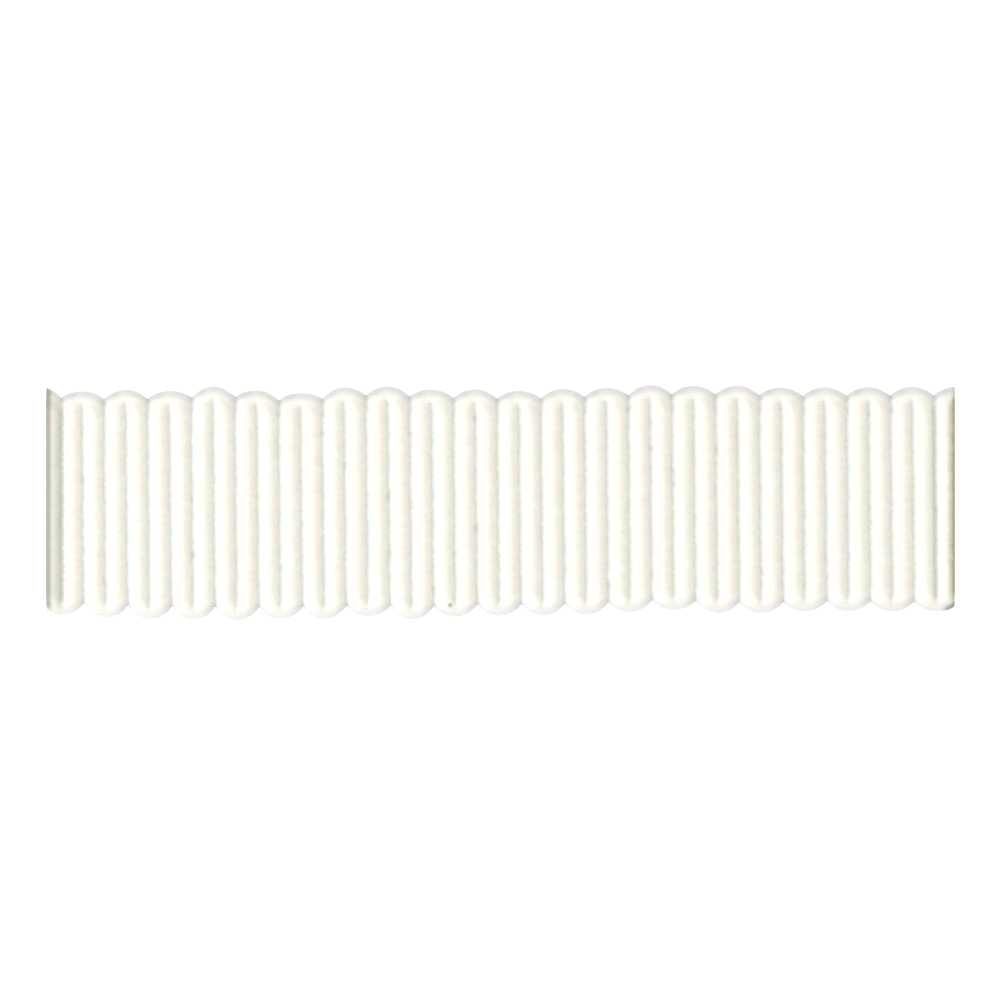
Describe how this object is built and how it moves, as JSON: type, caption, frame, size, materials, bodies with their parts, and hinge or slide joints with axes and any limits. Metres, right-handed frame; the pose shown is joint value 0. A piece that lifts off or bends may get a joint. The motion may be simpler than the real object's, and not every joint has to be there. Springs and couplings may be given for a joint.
{
  "type": "cut length of grosgrain ribbon",
  "caption": "Short straight length of cross-ribbed woven ribbon lying flat, with shallow looped edges and square cut ends.",
  "frame": {"origin": "middle of the ribbon's box on the plane that the underside's rib crests lie on", "axes": "+X along the ribbon, to the right in the picture; +Y across it, to the picture's top edge; +Z out of the face that shows"},
  "size_m": [0.0402, 0.0104, 0.001],
  "materials": {
    "ribbon_yarn": "soft satin"
  },
  "bodies": {
    "root": {"ribbon": "ribbon_yarn"}
  },
  "joints": []
}
